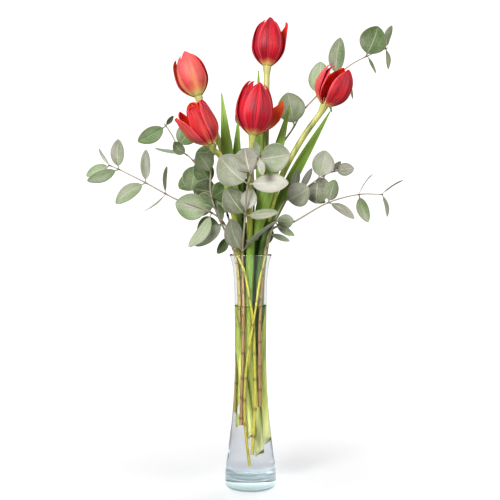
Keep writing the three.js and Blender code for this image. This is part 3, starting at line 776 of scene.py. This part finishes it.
# %% The sprigs' measures
SPRIGS = {
    "front": dict(
        route=[(-9.5, -9.5, 74), (-9, -9.7, 110), (-7.8, -9.7, 160), (-7.8, -9.6, 215), (-9, -9.3, 255),
        (-9.3, -12, 272), (-6, -26, 314), (-3, -37, 350), (10, -44, 383)],
        radius=(2.1, 0.9),
        leaves=[
            (0.1, (-4, 0, -21), 7, 30), (0.63, (-13, -22, 38), 23, 15), (0.63, (41, -24, 37), 16, 70),
            (0.77, (-22, -9, 30), 28, 10), (0.77, (36, -18, 3), 18, -50), (0.785, (7, 1, 25), 19, 0),
            (0.885, (-31, -7, 30), 37, 5), (0.885, (45, -9, 1), 24, -25), (0.92, (-7, 3, 30), 35, 0),
            (0.98, (36, 3, 6), 33, 10), (0.99, (-5, -6, 16), 9, 20), (0.99, (4, -12, -21), 9, 10),
        ],
    ),
    "left": dict(
        route=[(1.5, -16, 41), (3, -14.6, 65), (5, -12, 105), (4, -9.4, 150), (2.5, -9, 195),
        (-1.5, -11.8, 222), (-8, -14.3, 255), (-16, -15, 272), (-31, -19, 307), (-46, -22, 319),
        (-81, -30, 332), (-116, -37, 351), (-145.5, -43, 366), (-157, -45, 371)],
        radius=(1.9, 0.6),
        leaves=[
            (0.65, (-32, -10, -25), 17, -10), (0.655, (-5, -8, 20), 9, 30),
            (0.7, (-38, -12, 10), 31, 5), (0.695, (-25, -14, -38), 17, 30), (0.83, (1, 8, 31), 14, 75),
            (0.83, (-23, -8, -19), 14, 80), (0.89, (0, 4, 37), 13.5, 35),
            (0.89, (-33, -5, -23), 17, -15), (0.97, (0, -3, 33), 15.5, 10),
            (0.97, (-34, -6, -13), 15, -30), (0.995, (-27, 5, -11), 15, 20),
            (0.995, (-12.5, 3, 19), 8, 70),
        ],
    ),
    "right": dict(
        route=[(9, -8, 95), (9.5, -8.5, 140), (9.6, -8.8, 190), (13, -6.3, 243), (17.5, -5.5, 278),
        (25, -6, 299), (46, -13, 306), (87, -20, 329), (121.5, -28, 338.5), (148, -34, 338.5)],
        radius=(2.2, 0.6),
        leaves=[
            (0.585, (23, -6, -8), 7, 0), (0.815, (29, -4, -18), 11, 20), (0.815, (8, 6, 26), 18, 15),
            (0.92, (10, -3, -31), 14, 0), (0.92, (16, 6, 23), 8, 80), (0.995, (24, 2, 16), 9, 75),
            (0.995, (6, -2, -25), 9, 65),
        ],
    ),
    "cluster": dict(
        route=[(-1, -13, 27), (-5, -13.5, 65), (-6.5, -13.4, 100), (-4, -13, 146), (2.5, -13.2, 190),
        (6, -13.2, 212), (9.8, -12, 240), (17, -11, 271), (29, -10, 312), (39, -5, 331), (58.5, 5, 343),
        (79, 14, 357), (93.5, 19, 364.5), (110, 22, 368)],
        radius=(1.5, 0.7),
        leaves=[
            (0.715, (22, -14, -15), 9, 0), (0.72, (21, -9, 0), 17, 0), (0.785, (27, -7, 15), 29, -5),
            (0.815, (5, -9, 30), 13, 30), (0.845, (12, -9, 26), 12, 45),
            (0.855, (26, 6, -15), 12, -20), (0.912, (8, -3, 33), 27, 0), (0.91, (-3, -12, -28), 28, 0),
            (0.935, (-3, 9, -28), 20, 20), (0.965, (8, -4, 12), 9, 40), (0.97, (22, -3, 3), 16, 10),
        ],
    ),
    "upper_right": dict(
        route=[(10.5, 9.5, 90), (10.5, 8.3, 145), (10.4, 8.3, 215), (15, 11, 270), (34, 26, 390),
        (49.5, 31, 416), (62.5, 36, 438), (77, 41, 454), (100, 47, 477), (119.5, 53, 493.5),
        (141.5, 58, 505.5), (164.5, 62, 515)],
        radius=(1.9, 0.6),
        leaves=[
            (0.685, (-8, -5, 39), 34, 0), (0.78, (5, 5, 41), 28, -10), (0.8, (12, 5, -26), 8, 75),
            (0.848, (5, 3, 47), 20, 0), (0.872, (12, 3, -33), 9, 70), (0.94, (14, -7, 35), 34, 0),
            (0.945, (11, 5, -20), 8, 75), (0.995, (8, 3, 28), 15, 50), (0.995, (3, -3, -25), 9, 60),
        ],
    ),
    "upper_left": dict(
        route=[(-12, 9, 85), (-11.6, 6.8, 145), (-11.6, 6.8, 212), (-17, 9, 270), (-33, 22, 332),
        (-53, 30, 361), (-71, 36, 382), (-83.5, 40, 392), (-95, 45, 412), (-103, 49, 423.5)],
        radius=(1.9, 0.7),
        leaves=[
            (0.7, (-30, -12, 6), 29, 5), (0.74, (-19, -5, 25), 25, 0), (0.8, (-25, -12, -22), 24, 10),
            (0.83, (-4, -16, -33), 27, -5), (0.84, (26, -14, 15), 18, 15),
            (0.87, (-14, -12, 14), 14, 10), (0.885, (-32, -8, 4), 14, 70), (0.91, (18, 4, 29), 26, 0),
            (0.99, (-33, -4, -19), 20, 5), (0.99, (9, -2, 12), 8, 50),
        ],
    ),
    "lower_left": dict(
        route=[(-11, -6.9, 190), (-12.2, -7.4, 225), (-13.3, -7.5, 245), (-15.2, -8.4, 260),
        (-18.6, -8, 273), (-27, -2, 292), (-38, 4, 315), (-46, 8, 340), (-46, 14, 366), (-40, 41, 402)],
        radius=(1.6, 0.8),
        leaves=[
            (0.45, (-12, 4, -20), 12, 20), (0.52, (-28, -5, -8), 29, 0), (0.57, (9, 12, 26), 27, -10),
            (0.61, (-26, 6, 6), 28, 0), (0.66, (20, 2, 16), 25, 10), (0.79, (-15, -14, 23), 23, 0),
            (0.985, (-17, 5, 40), 22, 5),
        ],
    ),
    "back": dict(
        route=[(-0.8, 13.2, 150), (-0.8, 13.3, 215), (0, 17, 270), (4, 30, 330), (2, 42, 380),
        (-2, 50, 421)],
        radius=(1.8, 0.8),
        leaves=[
            (0.5, (-24, 10, 14), 28, 10), (0.5, (26, 8, 8), 28, -10), (0.66, (-16, 12, 28), 26, 0),
            (0.66, (22, 10, 18), 28, 0), (0.82, (-22, 10, 18), 24, -20), (0.82, (20, -3, 24), 24, 20),
            (0.985, (-12, 4, 26), 20, 0), (0.985, (16, 5, 18), 18, 30),
        ],
    ),
}
print("sprigs:", len(SPRIGS), "leaves:", sum(len(s["leaves"]) for s in SPRIGS.values()))

# %% [markdown]
# ## How a eucalyptus leaf is shaped
# A leaf could be a cut-out card, but these are thick and show their edges. One flat grid is the pattern
# for all of them: each copy has its points carried to a short petiole and a round blade, with a slight
# fold along the midrib, a cupped or wavy margin, and a gentle bow, all a little different from leaf to
# leaf.

# %% One leaf
PETIOLE = 0.12  # the petiole's share of a leaf's length


def leaf_place(foot, way, width, turn, rng):
    length = Vector(way).length
    along = Vector(way).normalized()
    face = turned_about(square_to(FRONT, along), along, turn)
    side = face.cross(along)
    fold, cup, wave = rng.uniform(0.02, 0.16), rng.uniform(-0.25, 0.35), rng.uniform(0.01, 0.05)
    phase, lean = rng.uniform(0, 6.28), rng.uniform(-0.06, 0.06)

    def place(t, s):
        row = 0.5 - 0.5 * math.cos(math.pi * max(0, (t - PETIOLE) / (1 - PETIOLE)))
        share = t if t < PETIOLE else PETIOLE + (1 - PETIOLE) * row
        blade = max(0, (share - PETIOLE) / (1 - PETIOLE))
        half = width / 2 * math.sin(math.pi * min(1, blade) ** 0.9) ** 0.6 if blade < 1 else 0
        half = max(half, 0.7 if blade < 0.5 else 0.12)
        across = half * s
        lift = fold * abs(across) - cup * across * across / width - 0.25 * length * share * (1 - share)
        lift += wave * width * abs(s) ** 3 * math.sin(7 * blade + phase + 2 * s) * math.sin(math.pi * blade)
        sway = lean * length * math.sin(math.pi * share)
        return foot + (along * length * share + side * (across + sway) + face * lift) * MM

    return place


# %% [markdown]
# Each sprig's leaves are joined into one mesh before Solidify and Subdivision, so that each modifier runs
# once per sprig, and the leaves are then joined to their twig.

# %% All the sprigs
# For each sprig: how dry its leaves are, how light they are (partly their own tone, partly painted light
# and shade, darkest for the sprigs at the back), and how yellow-green its lower twig is.
LOOKS = {
    "front": (0.75, 0.55, 0.1), "left": (0.5, 0.75, 0.95), "right": (0.5, 0.5, 0.1),
    "cluster": (0.65, 0.35, 0.9), "upper_right": (0.2, 0.45, 0.5), "upper_left": (0.05, 0.15, 0.6),
    "lower_left": (0.0, 0.1, 0.4), "back": (0.0, 0.0, 0.5),
}
LIGHTEST, FIRST_SEED = 0.75, 100


def make_sprig(name, sprig, seed):
    rng = random.Random(seed)
    dryness, lightness_and_painted_shade, freshness = LOOKS[name]
    line = course(sprig["route"])
    leaves = []
    for share, way, width, turn in sprig["leaves"]:
        leaf = sheet_from(leaf_place(on(line, share), way, width, turn, rng), 10, 18)
        mark(leaf.data, "tone", min(1, max(0, dryness + rng.uniform(-0.3, 0.3))))
        # The leaf's painted light and shade, partly its own tone, no lighter than LIGHTEST.
        mark(leaf.data, "shade", min(LIGHTEST, max(0, lightness_and_painted_shade + rng.uniform(-0.4, 0.3))))
        mark(leaf.data, "seed", rng.uniform(0, 50))
        leaves.append(leaf)
    pick(*leaves)
    bpy.ops.object.join()
    blades = bpy.context.object
    apply_modifier(blades, "SOLIDIFY", thickness=0.55 * MM, offset=0, use_even_offset=False)
    apply_modifier(blades, "SUBSURF", levels=1, render_levels=1)
    bpy.ops.object.shade_smooth()
    blades.data.materials.append(EUCALYPTUS_LEAF)
    scars = [share for share, *_ in sprig["leaves"]]
    lowest = min(s for s in scars if s > 0.3)
    scars += [lowest - 0.075 * k + rng.uniform(-0.01, 0.01) for k in range(1, 9)]
    shares = even(len(line))
    ring = [max(math.exp(-(((t - scar) / 0.004) ** 2)) for scar in scars) for t in shares]
    foot, end = sprig["radius"]
    twig = tube(line, [(foot + (end - foot) * t) * (1 + 0.3 * r) for t, r in zip(shares, ring)], 3)
    count = len(twig.data.vertices)
    near = [0.0] * count
    for loop, uv in zip(twig.data.loops, twig.data.uv_layers[0].data):
        near[loop.vertex_index] = ring[min(len(ring) - 1, round(uv.uv[0] * (len(ring) - 1)))]
    mark(twig.data, "ring", near)
    mark(twig.data, "fresh", freshness)
    twig.data.materials.append(TWIG)
    pick(blades, twig)
    bpy.ops.object.join()
    settle(bpy.context.object, f"eucalyptus_{name}", "eucalyptus", f"eucalyptus_{name}_sprig")


for number, (name, sprig) in enumerate(SPRIGS.items()):
    make_sprig(name, sprig, FIRST_SEED + number)

# %% [markdown]
# ## The vase
# The vase is a turned shape: a heavy rounded foot, a narrow waist and a flared lip. Its half outline is
# drawn once as a curve and spun about the middle. Light bends once where it meets the glass from air, and
# much less where the glass meets the water, so the wetted part of the inner wall has a glass of its own,
# whose index of refraction is that of glass divided by that of water. The glass has a blue-green tint that
# shows in the thick base, and its underside is ground, so light scatters there.

# %% Glass
GLASS_INDEX, WATER_INDEX = 1.5, 1.333
WHITE = (1, 1, 1, 1)


def clear_material(name, index, tint=None):
    """Clear glass or water, which bends light. tint is a stack of (height in mm, colour)."""
    material, tree, shader = new_material(name, transmission_weight=1.0, roughness=0.0, ior=index)
    here = add(tree, "TexCoord").outputs["Object"]
    if tint:
        height = add(tree, "SeparateXYZ", {0: here}).outputs[2]
        stops = [(z * MM * 4, colour) for z, colour in tint]
        body = ramp(tree, times(tree, height, 4.0), *stops)
        facing = add(tree, "LayerWeight", {"Blend": 0.3}).outputs["Facing"]
        rim = ramp(tree, facing, (0.45, 0.0), (0.95, 0.8))
        plug(tree, blend(tree, rim, body, (0.5, 0.62, 0.6)), shader, "Base Color")
    else:
        shader.inputs["Base Color"].default_value = (0.985, 0.995, 0.985, 1)
    ripple = noise(tree, here, (22, 22, 60), 2)
    bump(tree, shader, ripple, 0.0004, 0.35)
    return material, tree, shader


def pass_lamps(material, tree, shader, colour):
    """Shadow rays go straight through, so that what stands in the glass is lit."""
    straight = add(tree, "BsdfTransparent", {0: colour}).outputs[0]
    shadow = add(tree, "LightPath").outputs["Is Shadow Ray"]
    mixed = add(tree, "MixShader", {0: shadow, 1: shader.outputs[0], 2: straight}).outputs[0]
    tree.links.new(mixed, tree.nodes["Material Output"].inputs[0])
    return material


BASE_TINT = [(0, (0.20, 0.26, 0.27)), (5, (0.34, 0.40, 0.41)), (12, (0.60, 0.65, 0.665)),
             (26, (0.83, 0.84, 0.86)), (80, (0.89, 0.90, 0.915)), (210, (0.96, 0.975, 0.98))]
VASE_GLASS = pass_lamps(*clear_material("vase glass", GLASS_INDEX, BASE_TINT), (0.96, 0.98, 0.975, 1))
WET_INDEX = GLASS_INDEX / WATER_INDEX
WET_GLASS = pass_lamps(*clear_material("vase glass against water", WET_INDEX, BASE_TINT), WHITE)
WATER_TOP = pass_lamps(*clear_material("water surface", WATER_INDEX), WHITE)
GROUND_GLASS, tree, shader = clear_material("ground underside", GLASS_INDEX, BASE_TINT)
shader.inputs["Roughness"].default_value = 0.55
shader.inputs["Transmission Weight"].default_value = 0.3
pass_lamps(GROUND_GLASS, tree, shader, (0.4, 0.46, 0.47, 1))
print("index where glass meets water:", round(WET_INDEX, 3))

# %% Spinning a half outline
def spun(outline, steps=96):
    """A turned shape from a closed half outline of (radius, height) in millimetres."""
    path_through([(r * MM, 0, z * MM) for r, z in outline], [1] * len(outline))
    bpy.ops.object.convert(target="MESH")
    bpy.ops.object.mode_set(mode="EDIT")
    bpy.ops.mesh.select_all(action="SELECT")
    bpy.ops.mesh.spin(steps=steps, angle=2 * math.pi, center=(0, 0, 0), axis=(0, 0, 1))
    bpy.ops.mesh.select_all(action="SELECT")
    bpy.ops.mesh.remove_doubles(threshold=0.00002)
    bpy.ops.mesh.normals_make_consistent(inside=False)
    bpy.ops.object.mode_set(mode="OBJECT")
    bpy.ops.object.shade_smooth()
    return bpy.context.object


# %% Vase
WATER_LEVEL, WALL, FLOOR = 211, 2.2, 9
LIP, CORNER = 1.1, 7  # the radii of the lip's rounding and of the corner inside the foot
OUTSIDE = [(29.8, 9), (29.2, 20), (25.4, 47), (21.6, 80), (18.9, 120), (18.0, 160), (18.4, 205), (19.2, 240),
           (21.6, 260), (24.4, 270)]
wall = [(p.x / MM, p.z / MM) for p in course([(r, 0, z) for r, z in OUTSIDE], 90)]


def wall_radius(z):
    """The outer radius of the vase at a height."""
    steps = zip(wall, wall[1:])
    return next(r0 + (r1 - r0) * (z - z0) / (z1 - z0) for (r0, z0), (r1, z1) in steps if z <= z1)


def angles(per_half_turn, count):
    """0 and this many steps more, in radians, where a half turn has per_half_turn steps."""
    return [k * math.pi / per_half_turn for k in range(count + 1)]


heel = [(25 + 4.8 * math.sin(a), 4.6 - 4.6 * math.cos(a)) for a in angles(16, 8)]
inside = [(r - WALL, z) for r, z in wall if z > FLOOR + CORNER]
lip = [(24.3 - LIP + LIP * math.cos(a), 268.9 + LIP * math.sin(a)) for a in angles(8, 8)]
bowl = [(inside[0][0] * math.sin(a), FLOOR + CORNER - CORNER * math.cos(a)) for a in angles(20, 9)[1:]]
outline = [(0, 0.6), (14, 0.6), (20, 0.3), (22.5, 0), *heel, *[p for p in wall if 9.5 < p[1] < 268], *lip,
           *[p for p in reversed(inside) if p[1] < 268], *reversed(bowl), (0, FLOOR)]
vase = spun(outline)
for vertex in vase.data.vertices:
    r, z, turn = vertex.co.xy.length, vertex.co.z / MM, math.atan2(vertex.co.y, vertex.co.x)
    if 13 < z < 50 and r > 0.01:
        wave = math.sin(0.75 * z + 1.6 * math.sin(turn)) + 0.6 * math.sin(1.9 * z + 2.3 * math.cos(turn))
        fade = smoothstep(z, 13, 20) * (1 - smoothstep(z, 30, 50))
        vertex.co.xy *= 1 + (0.32 if r < (wall_radius(z) - 1) * MM else 0.1) * MM * wave * fade / r
vase.data.materials.append(VASE_GLASS)
vase.data.materials.append(WET_GLASS)
vase.data.materials.append(GROUND_GLASS)
wet = 0
for face in vase.data.polygons:
    r, z = face.center.xy.length / MM, face.center.z / MM
    inner = r < (wall_radius(z) - WALL / 2 if z > 15 else 20) and z > FLOOR - 0.5
    if inner and z < WATER_LEVEL:
        face.material_index, wet = 1, wet + 1
    elif z < 1 and face.normal.z < -0.5:
        face.material_index = 2
settle(vase, "vase_spun", "vase_glass", "vase")
print("faces:", len(vase.data.polygons), "of them wet:", wet)

# %% [markdown]
# ## The water
# The water fills the vase to a line in its lower neck, and creeps up the glass in a thin bright edge.
# Where it touches the glass, the bending of light is already done by the vase's wetted wall, so that side
# of the water lets light straight through, and only its top surface bends it.

# %% Water
hug = 0.05
side = [(r - hug, z) for r, z in inside if z < WATER_LEVEL - 1]
top_radius = side[-1][0]
creep = (1, 0.85, 0.7, 0.5, 0.25, 0)
meniscus = [(top_radius - 1.6 * (1 - k), WATER_LEVEL - 1 + 1.5 * k ** 3) for k in creep]
bed = [(r - hug * (r > 1), z + hug) for r, z in bowl]
water = spun([(0, FLOOR + hug), *bed, *side, *meniscus, (0, WATER_LEVEL - 1)])
through, tree, shader = new_material("water against glass")
straight = add(tree, "BsdfTransparent", {0: WHITE}).outputs[0]
tree.links.new(straight, tree.nodes["Material Output"].inputs[0])
water.data.materials.append(WATER_TOP)
water.data.materials.append(through)
for face in water.data.polygons:
    face.material_index = 0 if face.center.z / MM > WATER_LEVEL - 1.01 and face.normal.z > 0.3 else 1
settle(water, "water_body", "water", "water")
print("water top at mm:", WATER_LEVEL - 1, "and at the glass:", round(meniscus[0][1], 1))

# %% [markdown]
# ## Floor, light and camera
# The bouquet stands on a plain white floor in soft studio light: a bright white surround, a large key
# light from the front left, a weaker one from the right, and one from above and behind. The floor fades
# into the white surround, as a studio's paper sweep does, and is just glossy enough to mirror the foot of
# the vase. The surround isn't equally bright for everything: it is white to the camera, a little dimmer
# through glass, and much dimmer as a light on the flowers, which would otherwise look washed out.

# %% Floor
clear()
bpy.ops.mesh.primitive_circle_add(vertices=96, radius=2.4, fill_type="NGON", location=(0, 0, -0.0003))
floor = bpy.context.object
floor.name = "floor"
white, tree, shader = new_material("white floor", base_color=(0.72, 0.72, 0.73, 1), roughness=0.2)
here = add(tree, "TexCoord").outputs["Object"]
away = add(tree, "VectorMath", {0: here}, operation="LENGTH").outputs["Value"]
fading = ramp(tree, times(tree, away, 0.5), (0.05, 0.0), (0.22, 1.0))
nothing = add(tree, "BsdfTransparent", {0: WHITE}).outputs[0]
mixed = add(tree, "MixShader", {0: fading, 1: shader.outputs[0], 2: nothing}).outputs[0]
tree.links.new(mixed, tree.nodes["Material Output"].inputs[0])
floor.data.materials.append(white)

# %% Light
world = bpy.data.worlds.new("studio")
bpy.context.scene.world = world
world.use_nodes = True
surround = world.node_tree.nodes["Background"]
surround.inputs[0].default_value = WHITE
seen = add(world.node_tree, "LightPath").outputs
ground = calc(world.node_tree, "MULTIPLY_ADD", seen["Is Transmission Ray"], 0.55, 0.27)
bright = calc(world.node_tree, "MAXIMUM", ground, seen["Is Camera Ray"])
world.node_tree.links.new(bright, surround.inputs[1])


def softbox(name, place, size, power):
    clear()
    bpy.ops.object.light_add(type="AREA", location=place)
    lamp = bpy.context.object
    lamp.name = name
    lamp.data.shape = "DISK"
    lamp.data.size = size
    lamp.data.energy = power
    lamp.rotation_euler = (Vector((0, 0, 0.35)) - Vector(place)).to_track_quat("-Z", "Y").to_euler()


softbox("key", (-0.7, -1.2, 1.0), 0.8, 29)
softbox("fill", (1.2, -0.8, 0.7), 1.0, 10)
softbox("top", (0.2, 0.8, 1.6), 1.4, 17)

# %% Camera
bpy.ops.object.camera_add(location=(-0.0007, -1.15, 0.33), rotation=(math.pi / 2 - math.atan(0.048), 0, 0))
camera = bpy.context.object
camera.data.sensor_width = 36
camera.data.lens = 72
bpy.context.scene.camera = camera
bpy.context.scene.view_settings.view_transform = "Standard"
bpy.context.scene.view_settings.look = "Medium High Contrast"
